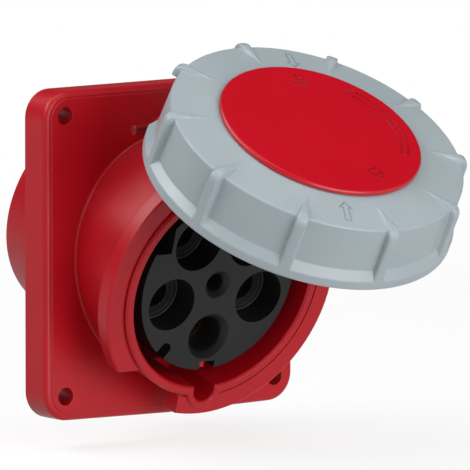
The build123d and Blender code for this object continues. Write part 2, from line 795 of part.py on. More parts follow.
with BuildPart() as locking_ring:
    with BuildSketch(lid_side) as ring_profile:
        with BuildLine():
            Polyline(
                (ring_top_inner, ring_bore),
                (ring_top_inner, seat_radius),
                (ring_top_outer, ring_top_radius),
                (ledge_top, ring_wall_radius),
                (ledge_bottom, ring_lip_radius),
                (ring_lip_bottom, ring_lip_radius),
                (ring_lip_bottom, ring_skirt_radius),
                (ring_underside, ring_skirt_radius),
                (ring_underside, ring_bore),
                close=True,
            )
        make_face()
        top_corner = ring_profile.vertices().sort_by_distance((ring_top_outer, ring_top_radius, 0))[0]
        fillet(top_corner, ring_top_round)
    revolve(axis=lid_turn)
    with BuildSketch(*rib_planes):
        Polygon(*rib_outline, align=None)
    extrude(amount=rib_core, both=True)
    with BuildSketch(*[plane.offset(rib_core) for plane in rib_planes]):
        Polygon(*rib_outline, align=None)
    extrude(amount=rib_round, taper=rib_flank_angle)
    with BuildSketch(*[plane.offset(-rib_core) for plane in rib_planes]):
        Polygon(*rib_outline, align=None)
    extrude(amount=-rib_round, taper=rib_flank_angle)
    with BuildSketch(lid_plane.offset(ring_lug_top)):
        with Locations(
            (-ring_lug_x - window_reach / 2, -ring_lug_y - window_reach / 2),
            (ring_lug_x + window_reach / 2, ring_lug_y + window_reach / 2),
        ):
            Rectangle(window_reach, window_reach)
        Circle(ring_wall_radius - ring_clearance, mode=Mode.INTERSECT)
        Circle(ring_lug_radius, mode=Mode.SUBTRACT)
    extrude(amount=ring_lip_bottom - ring_lug_top)
    with BuildSketch(lid_plane.offset(ring_underside)):
        with BuildLine():
            Polyline(
                (0, 0),
                polar(window_reach, window_start),
                polar(window_reach, (window_start + window_end) / 2),
                polar(window_reach, window_end),
                close=True,
            )
        make_face()
    extrude(amount=ring_lip_bottom - ring_underside, mode=Mode.SUBTRACT)
locking_ring.part.label = "locking_ring"
export_step(locking_ring.part, "parts/locking_ring.step")
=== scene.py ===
import json
import math

import bmesh
import bpy
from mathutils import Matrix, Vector


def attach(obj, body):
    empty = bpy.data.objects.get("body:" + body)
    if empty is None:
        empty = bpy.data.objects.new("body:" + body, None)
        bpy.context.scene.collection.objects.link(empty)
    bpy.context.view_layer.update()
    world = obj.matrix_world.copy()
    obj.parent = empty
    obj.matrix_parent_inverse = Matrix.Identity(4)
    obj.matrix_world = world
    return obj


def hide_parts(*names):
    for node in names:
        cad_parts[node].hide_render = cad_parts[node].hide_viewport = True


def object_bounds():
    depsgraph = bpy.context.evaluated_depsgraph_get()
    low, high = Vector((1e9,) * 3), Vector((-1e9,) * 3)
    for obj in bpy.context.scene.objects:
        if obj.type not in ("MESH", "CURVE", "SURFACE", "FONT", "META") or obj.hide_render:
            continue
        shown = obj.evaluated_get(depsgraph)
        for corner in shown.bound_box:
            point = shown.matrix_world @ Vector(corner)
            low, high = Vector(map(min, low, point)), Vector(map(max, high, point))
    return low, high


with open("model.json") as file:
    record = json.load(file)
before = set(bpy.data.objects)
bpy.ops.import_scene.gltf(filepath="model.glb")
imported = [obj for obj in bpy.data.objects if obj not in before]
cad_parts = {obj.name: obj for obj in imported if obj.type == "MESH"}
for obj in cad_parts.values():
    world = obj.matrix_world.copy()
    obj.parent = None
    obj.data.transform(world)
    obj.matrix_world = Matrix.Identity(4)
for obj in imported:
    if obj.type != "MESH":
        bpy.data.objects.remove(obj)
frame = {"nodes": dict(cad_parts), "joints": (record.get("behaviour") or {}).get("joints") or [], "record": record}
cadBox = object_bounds()
nodes = frame["nodes"]
joints = {joint["name"]: joint for joint in frame["joints"]}
mounts = {mount["name"]: mount for mount in frame["record"]["mounts"]}
mm = 0.001

# the lid's own frame, from the joint that the ring turns on
across = Vector((1, 0, 0))
lidAxis = -Vector(joints["ring_turn"]["axis"])  # out of the lid's top
lidBack = lidAxis.cross(across)  # towards the hinge
lidCentre = Vector(joints["ring_turn"]["pos_m"])
socketAxis = Vector(mounts["contact_pilot"]["axis"])  # out of the socket's mouth
socketUp = socketAxis.cross(across)
pilotPlace = Vector(mounts["contact_pilot"]["pos_m"])


def onLid(x, y, height):  # lid millimetres to the shared frame
    return lidCentre + (across * x + lidBack * y + lidAxis * height) * mm


def polar(radius, degrees):
    angle = math.radians(degrees)
    return (radius * math.cos(angle), radius * math.sin(angle))


class Wire:  # a shader socket that takes part in Python sums
    def __init__(self, tree, socket=None):
        self.tree = tree
        self.socket = socket

    def make(self, kind, settings=None, inputs=None, out=0):  # any node: settings first, then sockets
        node = self.tree.nodes.new("ShaderNode" + kind)
        for key, value in (settings or {}).items():
            if key == "stops":
                setStops(node.color_ramp, value)
            else:
                setattr(node, key, value)
        for key, value in (inputs or {}).items():
            if isinstance(value, Wire):
                self.tree.links.new(value.socket, node.inputs[key])
            else:
                node.inputs[key].default_value = value
        return Wire(self.tree, node.outputs[out] if node.outputs else None)

    def maths(self, operation, *values):
        return self.make("Math", {"operation": operation}, dict(enumerate(values)))

    def __add__(self, other):
        return self.maths("ADD", self, other)

    def __radd__(self, other):
        return self.maths("ADD", other, self)

    def __sub__(self, other):
        return self.maths("SUBTRACT", self, other)

    def __rsub__(self, other):
        return self.maths("SUBTRACT", other, self)

    def __mul__(self, other):
        return self.maths("MULTIPLY", self, other)

    def __truediv__(self, other):
        return self.maths("DIVIDE", self, other)

    def __pow__(self, other):
        return self.maths("POWER", self, other)

    def clamp(self):
        return self.make("Clamp", None, {"Value": self})

    def ramp(self, *stops):  # (place, grey) pairs
        return self.make("ValToRGB", {"stops": stops}, {"Fac": self})

    def dot(self, other):
        return self.make("VectorMath", {"operation": "DOT_PRODUCT"}, {0: self, 1: other}, "Value")

    def scaled(self, factors):
        return self.make("VectorMath", {"operation": "MULTIPLY"}, {0: self, 1: factors})

    def noise(self, scale, detail=2.0, rough=0.5):
        sockets = {"Vector": self, "Scale": scale, "Detail": detail, "Roughness": rough}
        return self.make("TexNoise", None, sockets)

    def mixed(self, low, high):  # two colours, by this value
        return self.make("Mix", {"data_type": "RGBA"}, {0: self, 6: low, 7: high}, 2)


def setStops(ramp, stops):
    while len(ramp.elements) < len(stops):
        ramp.elements.new(1.0)
    for element, (place, grey) in zip(ramp.elements, stops):
        element.position = place
        element.color = (grey, grey, grey, 1.0)


def rgba(colour):
    return (*colour, 1.0)


fedSockets = {"colour": "Base Color", "roughness": "Roughness", "normal": "Normal", "coat": "Coat Weight"}


def newFinish(name, fixed):  # an empty material, with the values that are the same all over it
    material = bpy.data.materials.new(name)
    material.use_nodes = True
    tree = material.node_tree
    shader = tree.nodes["Principled BSDF"]
    for key, value in fixed.items():
        shader.inputs[key].default_value = value

    def feed(**wires):
        for key, wire in wires.items():
            tree.links.new(wire.socket, shader.inputs[fedSockets[key]])

    return material, Wire(tree), feed


def roundedEdges(start, radius, samples=4):
    return start.make("Bevel", {"samples": samples}, {"Radius": radius * mm})


def bumped(height, depth, rounded, strength=1.0):  # millimetres of relief, over the rounded edges
    sockets = {"Strength": strength, "Distance": depth * mm, "Height": height, "Normal": rounded}
    return height.make("Bump", None, sockets)


# moulded plastics: a spark-eroded grain, slow changes of pigment, convex edges lightened in colour, part wear and
# part painted highlight
redPlastic = {
    "name": "redMoulding", "colour": (0.57, 0.0035, 0.013), "deep": (0.52, 0.0028, 0.011),
    "rubbedAndHighlit": (0.64, 0.035, 0.045), "rubAndHighlight": 0.55, "roughness": 0.36, "roughShift": 0.10,
    "edge": 0.45, "cloud": 38.0, "grain": 2600.0, "grainDepth": 0.012, "scuff": 0.05,
    "fixed": {"Specular IOR Level": 0.5, "IOR": 1.48},
}
# darker red than the housing: painted shade, for the pin's tail that sits in shadow
pinShadedPlastic = {
    **redPlastic, "name": "redPinPaintedShade", "colour": (0.30, 0.002, 0.008), "deep": (0.27, 0.002, 0.007), "rubAndHighlight": 0.2,
}
coverPlastic = {
    **redPlastic, "name": "redCover", "colour": (0.57, 0.0013, 0.0125), "deep": (0.555, 0.0012, 0.012),
    "rubbedAndHighlit": (0.72, 0.10, 0.11), "rubAndHighlight": 0.7, "roughness": 0.42, "roughShift": 0.06, "scuff": 0.02,
    "fixed": {"Specular IOR Level": 0.18, "IOR": 1.48, "Coat Roughness": 0.22}, "rimShine": 1.0,
}
greyPlastic = {
    "name": "greyMoulding", "colour": (0.425, 0.49, 0.52), "deep": (0.395, 0.46, 0.49),
    "rubbedAndHighlit": (0.56, 0.61, 0.635), "rubAndHighlight": 0.6, "roughness": 0.25, "roughShift": 0.10,
    "edge": 0.4, "cloud": 32.0, "grain": 2400.0, "grainDepth": 0.012, "scuff": 0.0,
    "fixed": {"Specular IOR Level": 0.5, "IOR": 1.48},
}
# the marks' darker red is painted shade, standing in for the shaded sides of the relief
coverMarkShadedPlastic = {
    **coverPlastic, "name": "redMarkPaintedShade", "colour": (0.36, 0.0012, 0.010), "deep": (0.34, 0.0012, 0.010),
    "rubAndHighlight": 0.0, "rimShine": 0.2,
}
# the arrows' darker grey is painted shade, standing in for the shaded sides of the relief
ringMarkShadedPlastic = {
    **greyPlastic, "name": "greyMarkPaintedShade", "colour": (0.29, 0.34, 0.36), "deep": (0.28, 0.33, 0.35), "rubAndHighlight": 0.0,
}
darkPlastic = {
    "name": "darkMoulding", "colour": (0.016, 0.016, 0.0155), "deep": (0.011, 0.011, 0.011),
    "rubbedAndHighlit": (0.045, 0.045, 0.043), "rubAndHighlight": 0.6, "roughness": 0.46, "roughShift": 0.12,
    "edge": 0.3, "cloud": 60.0, "grain": 3000.0, "grainDepth": 0.015, "scuff": 0.06,
    "fixed": {"Specular IOR Level": 0.45, "IOR": 1.46},
}
# lighter than the insert: a painted highlight along the entry beads' crests
beadHighlightPlastic = {
    **darkPlastic, "name": "darkBeadHighlight", "colour": (0.06, 0.06, 0.058), "deep": (0.05, 0.05, 0.048),
}
mouldLook = {  # what all the mouldings share
    "edgeSamples": 6, "edgeGain": 6.0, "pigmentStops": ((0.35, 0.0), (0.65, 1.0)), "rimGain": 5.0,
    "scuffScale": 420.0, "scuffStretch": (1.0, 0.35, 1.6), "scuffStops": ((0.60, 0.0), (0.72, 1.0)),
}


def mouldedPlastic(spec):
    look = mouldLook
    material, start, feed = newFinish(spec["name"], spec["fixed"])
    place = start.make("TexCoord", out="Object")
    rounded = roundedEdges(start, spec["edge"], look["edgeSamples"])
    flat = start.make("NewGeometry", out="Normal")
    edge = ((1 - rounded.dot(flat)) * look["edgeGain"]).clamp()
    cloud = place.noise(spec["cloud"], detail=3.0)
    grain = place.noise(spec["grain"], detail=1.0)
    scuffs = place.scaled(look["scuffStretch"]).noise(look["scuffScale"], detail=4.0, rough=0.7)
    scuffs = scuffs.ramp(*look["scuffStops"])
    colour = cloud.ramp(*look["pigmentStops"]).mixed(rgba(spec["deep"]), rgba(spec["colour"]))
    # convex edges lightened: part edge wear, part painted highlight
    colour = (edge * spec["rubAndHighlight"]).mixed(colour, rgba(spec["rubbedAndHighlit"]))
    roughness = spec["roughness"] + (cloud - 0.5) * spec["roughShift"] + scuffs * spec["scuff"]
    feed(colour=colour, roughness=roughness, normal=bumped(grain, spec["grainDepth"], rounded))
    if "rimShine" in spec:  # the disc's rounded rim, which hands have polished
        lean = 1 - start.make("TexCoord", out="Normal").dot(tuple(lidAxis))
        feed(coat=(lean * look["rimGain"]).clamp() * spec["rimShine"])
    return material


# metals: lines left by the lathe, a little tarnish
brass = {
    "name": "turnedBrass", "colour": (0.66, 0.46, 0.19), "tarnish": (0.40, 0.25, 0.09), "roughness": 0.27,
    "pitch": 0.32, "lineDepth": 0.004, "along": socketAxis,
}
zincSteel = {
    "name": "zincSteel", "colour": (0.60, 0.60, 0.59), "tarnish": (0.42, 0.41, 0.38), "roughness": 0.30,
    "pitch": 0.30, "lineDepth": 0.003, "along": across,
}
springSteel = {**zincSteel, "name": "springSteel", "colour": (0.50, 0.50, 0.50), "along": socketAxis}


metalLook = {  # what all the turned pieces share
    "edge": 0.15, "cloud": 180.0, "tarnishStops": ((0.48, 0.0), (0.78, 0.7)), "roughShift": 0.3,
    "lineShare": 0.5, "scratch": 5200.0, "scratchShare": 0.4,
}


def turnedMetal(spec):
    look = metalLook
    material, start, feed = newFinish(spec["name"], {"Metallic": 1.0})
    place = start.make("TexCoord", out="Object")
    cloud = place.noise(look["cloud"], detail=4.0, rough=0.6)
    lines = (place.dot(tuple(spec["along"])) * (math.tau / (spec["pitch"] * mm))).maths("SINE")
    scratches = place.noise(look["scratch"], detail=1.0)
    height = lines * look["lineShare"] + scratches * look["scratchShare"]
    colour = cloud.ramp(*look["tarnishStops"]).mixed(rgba(spec["colour"]), rgba(spec["tarnish"]))
    roughness = spec["roughness"] + (cloud - 0.5) * look["roughShift"]
    normal = bumped(height, spec["lineDepth"], roundedEdges(start, look["edge"]))
    feed(colour=colour, roughness=roughness, normal=normal)
    return material


# screws: the distance from the socket's axis runs along each clamp screw, so it carries the thread
thread = {
    "name": "screwThread", "colour": (0.58, 0.57, 0.53), "tarnish": (0.36, 0.34, 0.29), "roughness": 0.32,
    "roughShift": 0.3, "pitch": 0.8, "depth": 0.12, "strength": 0.8, "edge": 0.15, "cloud": 260.0,
    "tarnishStops": ((0.45, 0.0), (0.8, 0.8)),
}


def threadedSteel(spec):
    material, start, feed = newFinish(spec["name"], {"Metallic": 1.0})
    place = start.make("TexCoord", out="Object")
    fromPilot = place.make("VectorMath", {"operation": "SUBTRACT"}, {0: place, 1: tuple(pilotPlace)})
    depth = fromPilot.dot(tuple(socketAxis))
    radius = (fromPilot.dot(fromPilot) - depth * depth) ** 0.5
    turns = (radius * (math.tau / (spec["pitch"] * mm))).maths("SINE")
    cloud = place.noise(spec["cloud"], detail=4.0, rough=0.6)
    colour = cloud.ramp(*spec["tarnishStops"]).mixed(rgba(spec["colour"]), rgba(spec["tarnish"]))
    roughness = spec["roughness"] + (cloud - 0.5) * spec["roughShift"]
    normal = bumped(turns, spec["depth"], roundedEdges(start, spec["edge"]), spec["strength"])
    feed(colour=colour, roughness=roughness, normal=normal)
    return material


rubber = {
    "name": "sealRubber", "colour": (0.016, 0.016, 0.017), "dust": (0.055, 0.053, 0.05), "roughness": 0.68,
    "roughShift": 0.2, "edge": 0.3, "cloud": 90.0, "dustStops": ((0.5, 0.0), (0.85, 0.6)), "pore": 1800.0,
    "poreDepth": 0.03,
}


def sealRubber(spec):
    material, start, feed = newFinish(spec["name"], {"Specular IOR Level": 0.35})
    place = start.make("TexCoord", out="Object")
    cloud = place.noise(spec["cloud"], detail=5.0, rough=0.65)
    pores = place.noise(spec["pore"])
    colour = cloud.ramp(*spec["dustStops"]).mixed(rgba(spec["colour"]), rgba(spec["dust"]))
    roughness = spec["roughness"] + (cloud - 0.5) * spec["roughShift"]
    normal = bumped(pores, spec["poreDepth"], roundedEdges(start, spec["edge"]))
    feed(colour=colour, roughness=roughness, normal=normal)
    return material


finishes = {
    "housing": mouldedPlastic(redPlastic),
    "pin": mouldedPlastic(pinShadedPlastic),
    "cover": mouldedPlastic(coverPlastic),
    "coverMark": mouldedPlastic(coverMarkShadedPlastic),
    "ring": mouldedPlastic(greyPlastic),
    "ringMark": mouldedPlastic(ringMarkShadedPlastic),
    "insert": mouldedPlastic(darkPlastic),
    "entryBeadHighlight": mouldedPlastic(beadHighlightPlastic),
    "brass": turnedMetal(brass),
    "steel": turnedMetal(zincSteel),
    "spring": turnedMetal(springSteel),
    "thread": threadedSteel(thread),
    "rubber": sealRubber(rubber),
}
nodeFinish = {  # the first words of a node's name, and its finish
    "housing": "housing", "lid_plate": "housing", "lid_cover": "cover", "locking_ring": "ring",
    "contact_insert": "insert", "terminal_base": "insert", "contact_sleeve": "brass",
    "earth_sleeve": "brass", "pilot_sleeve": "brass", "contact_spring": "spring",
    "earth_spring": "spring", "pilot_spring": "spring", "terminal_screws": "thread",
    "insert_screws": "steel", "lid_screws": "steel", "hinge_pin": "pin", "pin_clip": "steel",
    "panel_gasket": "rubber", "lid_gasket": "rubber",
}
creaseAngle = math.radians(28)


def smoothFaces(mesh):
    for face in mesh.polygons:
        face.use_smooth = True
    mesh.set_sharp_from_angle(angle=creaseAngle)


for nodeName, node in nodes.items():
    finish = next(value for key, value in nodeFinish.items() if nodeName.startswith(key))
    node.data.materials.clear()
    node.data.materials.append(finishes[finish])
print("finishes:", len(finishes), "on", len(nodes), "nodes")


def newPiece(name, mesh, body, finish):
    piece = bpy.data.objects.new(name, mesh)
    bpy.context.scene.collection.objects.link(piece)
    mesh.materials.clear()
    mesh.materials.append(finishes[finish])
    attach(piece, body)
    return piece


# the locking ring as one skin: a profile between the ribs and one on a rib's crest, mixed round the ring
ringSpec = {
    "bore": 37.0, "top": 12.9, "underside": 6.9, "seat": 41.6, "ribStart": 45.0, "shoulder": (10.6, 59.1),
    "ledgeTop": (-8.0, 59.6), "lipTop": -11.6, "lipBottom": -15.4, "lip": 62.38, "skirt": 56.2,
    "ribs": 10, "ribPhase": 268.0, "ribHalf": 2.4, "ribSquare": 4.6, "ribPoint": 0.15,
    "ribCorner": 11.8, "ribCornerRound": 4.4, "foot": ((0.0, 0.13), (0.12, 0.06), (0.3, 0.02), (0.6, 0.0)),
    "crestSteps": 18, "panelSteps": 12, "taperRun": 3, "taperSpans": 10,
    "lugInner": 49.0, "lugX": 12.3, "lugY": 35.4, "lugTop": -8.9, "lugLift": 0.1, "lugSink": 1.3,
    "lugSteps": 12,
    "windowStart": 79.6, "windowEnd": 135.4, "windowSteps": 16, "windowOut": 4.0, "windowIn": 1.5,
    "windowBelow": 3.0, "windowAbove": 0.05,
}


def coneHeight(radius):  # the ring's top between the ribs
    height, outer = ringSpec["shoulder"]
    share = (radius - ringSpec["seat"]) / (outer - ringSpec["seat"])
    return ringSpec["top"] + (height - ringSpec["top"]) * max(share, 0.0)


def ringCorners(onRib):  # height, radius and how far the rounding reaches
    spec = ringSpec
    shoulder, ledge = (*spec["shoulder"], 0.9), (*spec["ledgeTop"], 0.3)
    if onRib:
        shoulder = (spec["ribCorner"], spec["lip"], spec["ribCornerRound"])
        ledge = (spec["ledgeTop"][0], spec["lip"], 0.3)
    return [
        (spec["underside"], spec["bore"], 0.3),
        (spec["top"], spec["bore"], 0.4),
        (spec["top"], spec["seat"], 0.6),
        (coneHeight(spec["ribStart"]), spec["ribStart"], 1.0),
        shoulder,
        ledge,
        (spec["lipTop"], spec["lip"], 0.45),
        (spec["lipBottom"], spec["lip"], 0.7),
        (spec["lipBottom"], spec["skirt"], 0.5),
        (spec["underside"], spec["skirt"], 0.8),
    ]


def roundedLoop(corners, steps=5, spans=3):  # a closed outline with its corners rounded off
    points = []
    count = len(corners)
    for index in range(count):
        before, here, after = (Vector(corners[(index + k) % count][:2]) for k in (-1, 0, 1))
        reach = corners[index][2]
        start = here + (before - here).normalized() * reach
        end = here + (after - here).normalized() * reach
        for step in range(steps + 1):
            t = step / steps
            points.append(start * (1 - t) ** 2 + here * 2 * t * (1 - t) + end * t * t)
        nextStart = after + (here - after).normalized() * corners[(index + 1) % count][2]
        parts = ringSpec["taperSpans"] if index == ringSpec["taperRun"] else spans  # ribs taper along it
        points += [end.lerp(nextStart, k / parts) for k in range(1, parts)]
    return points


def ribColumns():  # (angle, millimetres from the rib's middle) all round the ring
    spec = ringSpec
    pitch = 360.0 / spec["ribs"]
    toAngle = math.degrees(1.0 / spec["lip"])
    crest = []
    for step in range(spec["crestSteps"] + 1):
        sine = math.sin(math.pi * (step / spec["crestSteps"] - 0.5))
        crest.append(spec["ribHalf"] * math.copysign(abs(sine) ** (2 / spec["ribSquare"]), sine))
    right = [spec["ribHalf"] + foot[0] for foot in spec["foot"][1:]]
    places = [-place for place in reversed(right)] + crest + right
    gap = pitch / toAngle - 2 * places[-1]
    places += [places[-1] + gap * k / spec["panelSteps"] for k in range(1, spec["panelSteps"])]
    starts = [spec["ribPhase"] + rib * pitch for rib in range(spec["ribs"])]
    return [(start + place * toAngle, place) for start in starts for place in places]


def ribShare(place, radius):  # how far a point is up the rib, which narrows towards the disc
    spec = ringSpec
    run = (radius - spec["ribStart"]) / (spec["shoulder"][1] - spec["ribStart"])
    aside = abs(place) / min(max(run, spec["ribPoint"]), 1.0)
    if aside < spec["ribHalf"]:
        crest = (1 - (aside / spec["ribHalf"]) ** spec["ribSquare"]) ** (1 / spec["ribSquare"])
        return max(crest, spec["foot"][0][1])
    out = aside - spec["ribHalf"]
    for (near, high), (far, low) in zip(spec["foot"], spec["foot"][1:]):
        if out <= far:
            return high + (low - high) * (out - near) / (far - near)
    return 0.0


def meshFrom(name, points, faces):
    mesh = bpy.data.meshes.new(name)
    mesh.from_pydata([tuple(point) for point in points], [], faces)
    mesh.validate()
    return mesh


def prism(name, outline, low, high):  # a closed block over an outline on the lid
    count = len(outline)
    points = [onLid(x, y, low) for x, y in outline] + [onLid(x, y, high) for x, y in outline]
    sides = [(k, (k + 1) % count, count + (k + 1) % count, count + k) for k in range(count)]
    mesh = meshFrom(name, points, [tuple(reversed(range(count))), tuple(range(count, 2 * count)), *sides])
    block = bpy.data.objects.new(name, mesh)
    bpy.context.scene.collection.objects.link(block)
    return block


def carve(target, block, operation):
    change = target.modifiers.new(block.name, "BOOLEAN")
    change.operation = operation
    change.solver = "EXACT"
    change.object = block
    seen = target.evaluated_get(bpy.context.evaluated_depsgraph_get())
    mesh = bpy.data.meshes.new_from_object(seen)
    target.modifiers.clear()
    target.data = mesh
    bpy.data.objects.remove(block)


def buildRing():
    spec = ringSpec
    plain, crest = roundedLoop(ringCorners(False)), roundedLoop(ringCorners(True))
    columns = ribColumns()
    points = []
    for angle, place in columns:
        for low, high in zip(plain, crest):
            height, radius = low.lerp(high, ribShare(place, low.y))
            points.append(onLid(*polar(radius, angle), height))
    ring, loop = len(columns), len(plain)
    faces = []
    for i in range(ring):
        j = (i + 1) % ring
        for k in range(loop):
            m = (k + 1) % loop
            faces.append((i * loop + k, i * loop + m, j * loop + m, j * loop + k))
    piece = bpy.data.objects.new("lockingRing", meshFrom("lockingRing", points, faces))
    bpy.context.scene.collection.objects.link(piece)
    inside, lugLow = spec["skirt"] + spec["lugSink"], spec["lipBottom"] + spec["lugLift"]
    for turn in (0, 180):  # two bayonet lugs, opposite each other
        outline = [polar(inside, a) for a in spread(lugAngles(inside), spec["lugSteps"])]
        inner = spread(lugAngles(spec["lugInner"]), spec["lugSteps"])
        outline += [polar(spec["lugInner"], a) for a in reversed(inner)]
        outline = [rotated(point, turn) for point in outline]
        carve(piece, prism("lug", outline, lugLow, spec["lugTop"]), "UNION")
    sector = spread((spec["windowStart"], spec["windowEnd"]), spec["windowSteps"])
    outline = [polar(spec["lip"] + spec["windowOut"], a) for a in sector]
    outline += [polar(spec["skirt"] - spec["windowIn"], a) for a in reversed(sector)]
    low, high = spec["lipBottom"] - spec["windowBelow"], spec["underside"] - spec["windowAbove"]
    carve(piece, prism("window", outline, low, high), "DIFFERENCE")
    smoothFaces(piece.data)
    piece.data.materials.clear()
    piece.data.materials.append(finishes["ring"])
    even = piece.modifiers.new("evenNormals", "WEIGHTED_NORMAL")
    even.keep_sharp = True
    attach(piece, "ring")
    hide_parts("locking_ring")
    return piece


def spread(ends, steps):
    return [ends[0] + (ends[1] - ends[0]) * k / steps for k in range(steps + 1)]


def lugAngles(radius):
    return (
        math.degrees(math.asin(ringSpec["lugY"] / radius)),
        math.degrees(math.acos(ringSpec["lugX"] / radius)),
    )


def rotated(point, degrees):
    c, s = math.cos(math.radians(degrees)), math.sin(math.radians(degrees))
    return (point[0] * c - point[1] * s, point[0] * s + point[1] * c)


lockingRing = buildRing()
print("ring:", len(lockingRing.data.polygons), "faces")


# raised marks: a low ridge along each stroke
ridgeShape = ((-0.5, -0.6), (-0.44, 0.5), (-0.2, 1.0), (0.2, 1.0), (0.44, 0.5), (0.5, -0.6))  # across, up
mitreLimit = 0.5


def addRidge(bm, stroke, closed, surface, width, height):
    count = len(stroke)
    rows = []
    for k in range(count):
        here = Vector(stroke[k])
        before = Vector(stroke[k - 1]) if closed or k else here
        after = Vector(stroke[(k + 1) % count]) if closed or k < count - 1 else here
        ways = [way.normalized() for way in (here - before, after - here) if way.length > 1e-6]
        way = sum(ways, Vector((0, 0))).normalized()
        side = Vector((-way.y, way.x)) / max(way.dot(ways[0]), mitreLimit)
        row = []
        for out, up in ridgeShape:
            x, y = here + side * out * width
            row.append(bm.verts.new(onLid(x, y, surface(math.hypot(x, y)) + up * height)))
        rows.append(row)
    size = len(ridgeShape)
    for k in range(count if closed else count - 1):
        low, high = rows[k], rows[(k + 1) % count]
        for e in range(size):
            bm.faces.new((low[e], high[e], high[(e + 1) % size], low[(e + 1) % size]))
    if not closed:
        bm.faces.new(rows[0])
        bm.faces.new(list(reversed(rows[-1])))


def markPiece(name, strokes, surface, spec, body, finish):
    bm = bmesh.new()
    for stroke, closed in strokes:
        addRidge(bm, stroke, closed, surface, spec["width"], spec["height"])
    return meshPiece(name, bm, body, finish)


def meshPiece(name, bm, body, finish):
    bmesh.ops.recalc_face_normals(bm, faces=bm.faces)
    mesh = bpy.data.meshes.new(name)
    bm.to_mesh(mesh)
    bm.free()
    smoothFaces(mesh)
    return newPiece(name, mesh, body, finish)


def fine(stroke, closed, step=0.6):  # points close enough together to follow a curved surface
    ends = stroke + stroke[:1] if closed else stroke
    points = []
    for a, b in zip(ends, ends[1:]):
        parts = max(1, round(math.dist(a, b) / step))
        points += [tuple(Vector(a).lerp(Vector(b), k / parts)) for k in range(parts)]
    return points if closed else points + [stroke[-1]]


def placed(stroke, radius, degrees):  # a stroke about a point of the lid, its second way outward
    return [rotated((x, y + radius), degrees - 90) for x, y in stroke]


ringArrow = {
    "width": 0.55, "height": 0.22, "radius": 49.7, "angles": (250.5, 70.5), "shaft": 2.3, "head": 5.0,
    "reach": 5.0, "headLength": 3.0,
}


def arrowStroke(spec):  # an arrow's outline, its head towards the lid's middle
    shaft, head, reach = spec["shaft"] / 2, spec["head"] / 2, spec["reach"]
    neck = -reach + spec["headLength"]
    left = [(-shaft, reach), (-shaft, neck), (-head, neck)]
    return left + [(0, -reach)] + [(-x, y) for x, y in reversed(left)]


arrows = []
for angle in ringArrow["angles"]:
    arrows.append((fine(placed(arrowStroke(ringArrow), ringArrow["radius"], angle), True), True))
markPiece("ringArrows", arrows, coneHeight, ringArrow, "ring", "ringMark")

coverMark = {
    "width": 0.5, "height": 0.26, "top": 15.1, "lockAngles": (75.0, 285.0), "lockRadius": 30.0,
    "lockLifts": (1.3, 0.0), "caseHalf": 2.5, "caseLow": -2.4, "caseHigh": 1.0, "bowRadius": 1.5,
    "bowRise": 1.0, "bowSteps": 10, "turnInner": 32.2, "turnOuter": 35.0, "turnTail": -37.0,
    "turnNeck": 34.0, "turnTip": 43.0, "turnHead": 2.4, "turnSteps": 30,
}


def lockStrokes(spec, lift):  # a padlock: its case, and a bow that lifts out when open
    half, low, high, bend = (spec[key] for key in ("caseHalf", "caseLow", "caseHigh", "bowRadius"))
    case = [(-half, low), (half, low), (half, high), (-half, high)]
    bow = [(-bend, high)]
    for step in range(spec["bowSteps"] + 1):
        turn = math.pi * step / spec["bowSteps"]
        bow.append((-bend * math.cos(turn), high + spec["bowRise"] + lift + bend * math.sin(turn)))
    return [(case, True), (bow + [(bend, high + lift)], False)]


def turnStroke(spec):  # a curved arrow's outline beside the disc's edge
    sweep = spread((spec["turnTail"], spec["turnNeck"]), spec["turnSteps"])
    inner = [polar(spec["turnInner"], a) for a in sweep]
    outer = [polar(spec["turnOuter"], a) for a in reversed(sweep)]
    middle = (spec["turnInner"] + spec["turnOuter"]) / 2
    head = [
        polar(middle - spec["turnHead"], spec["turnNeck"]),
        polar(middle, spec["turnTip"]),
        polar(middle + spec["turnHead"], spec["turnNeck"]),
    ]
    return inner + head + outer


coverStrokes = [(fine(turnStroke(coverMark), True), True)]
for angle, lift in zip(coverMark["lockAngles"], coverMark["lockLifts"]):
    for stroke, closed in lockStrokes(coverMark, lift):
        coverStrokes.append((fine(placed(stroke, coverMark["lockRadius"], angle), closed), closed))


def coverHeight(radius):  # the disc's top is flat
    return coverMark["top"]


markPiece("coverMarks", coverStrokes, coverHeight, coverMark, "lid", "coverMark")
print("marks:", len(arrows), "arrows on the ring,", len(coverStrokes), "strokes on the cover")

# the insert's entries: funnels at the earth and pilot contacts, fine beads on the phase recesses' floors, coloured
# lighter as a painted highlight
entrySpec = {
    "segments": 72,
    "phaseMounts": ("contact_l1", "contact_l2", "contact_l3", "contact_n"),
    "depths": {"phase": 38.0, "earth": 34.5, "pilot": 34.0},  # the mounts' own, behind the rim
    "bead": (
        (10.74, 16.39), (10.74, 15.95), (10.6, 15.76), (10.4, 15.68), (10.2, 15.76), (10.06, 15.95),
        (10.02, 16.39),
    ),
    "step": ((9.05, 16.39), (9.0, 16.14), (8.85, 16.06), (8.7, 16.14), (8.65, 16.39)),
    "earthFunnel": ((9.58, 4.02), (7.6, 6.3), (7.36, 6.7), (7.25, 7.2), (7.25, 20.0), (9.58, 20.0)),
    "pilotFunnel": ((5.83, 4.02), (3.86, 6.0), (3.64, 6.4), (3.55, 6.9), (3.55, 19.5), (5.83, 19.5)),
}


def turnRing(bm, mount, mountDepth, profile):  # radii and depths, turned about a contact's axis
    atRim = Vector(mounts[mount]["pos_m"]) + socketAxis * mountDepth * mm
    rows = []
    for k in range(entrySpec["segments"]):
        x, y = polar(1.0, 360.0 * k / entrySpec["segments"])
        way = across * x + socketUp * y
        places = [atRim + (way * radius - socketAxis * depth) * mm for radius, depth in profile]
        rows.append([bm.verts.new(point) for point in places])
    count = len(profile)
    for low, high in zip(rows, rows[1:] + rows[:1]):
        for e in range(count):
            bm.faces.new((low[e], low[(e + 1) % count], high[(e + 1) % count], high[e]))


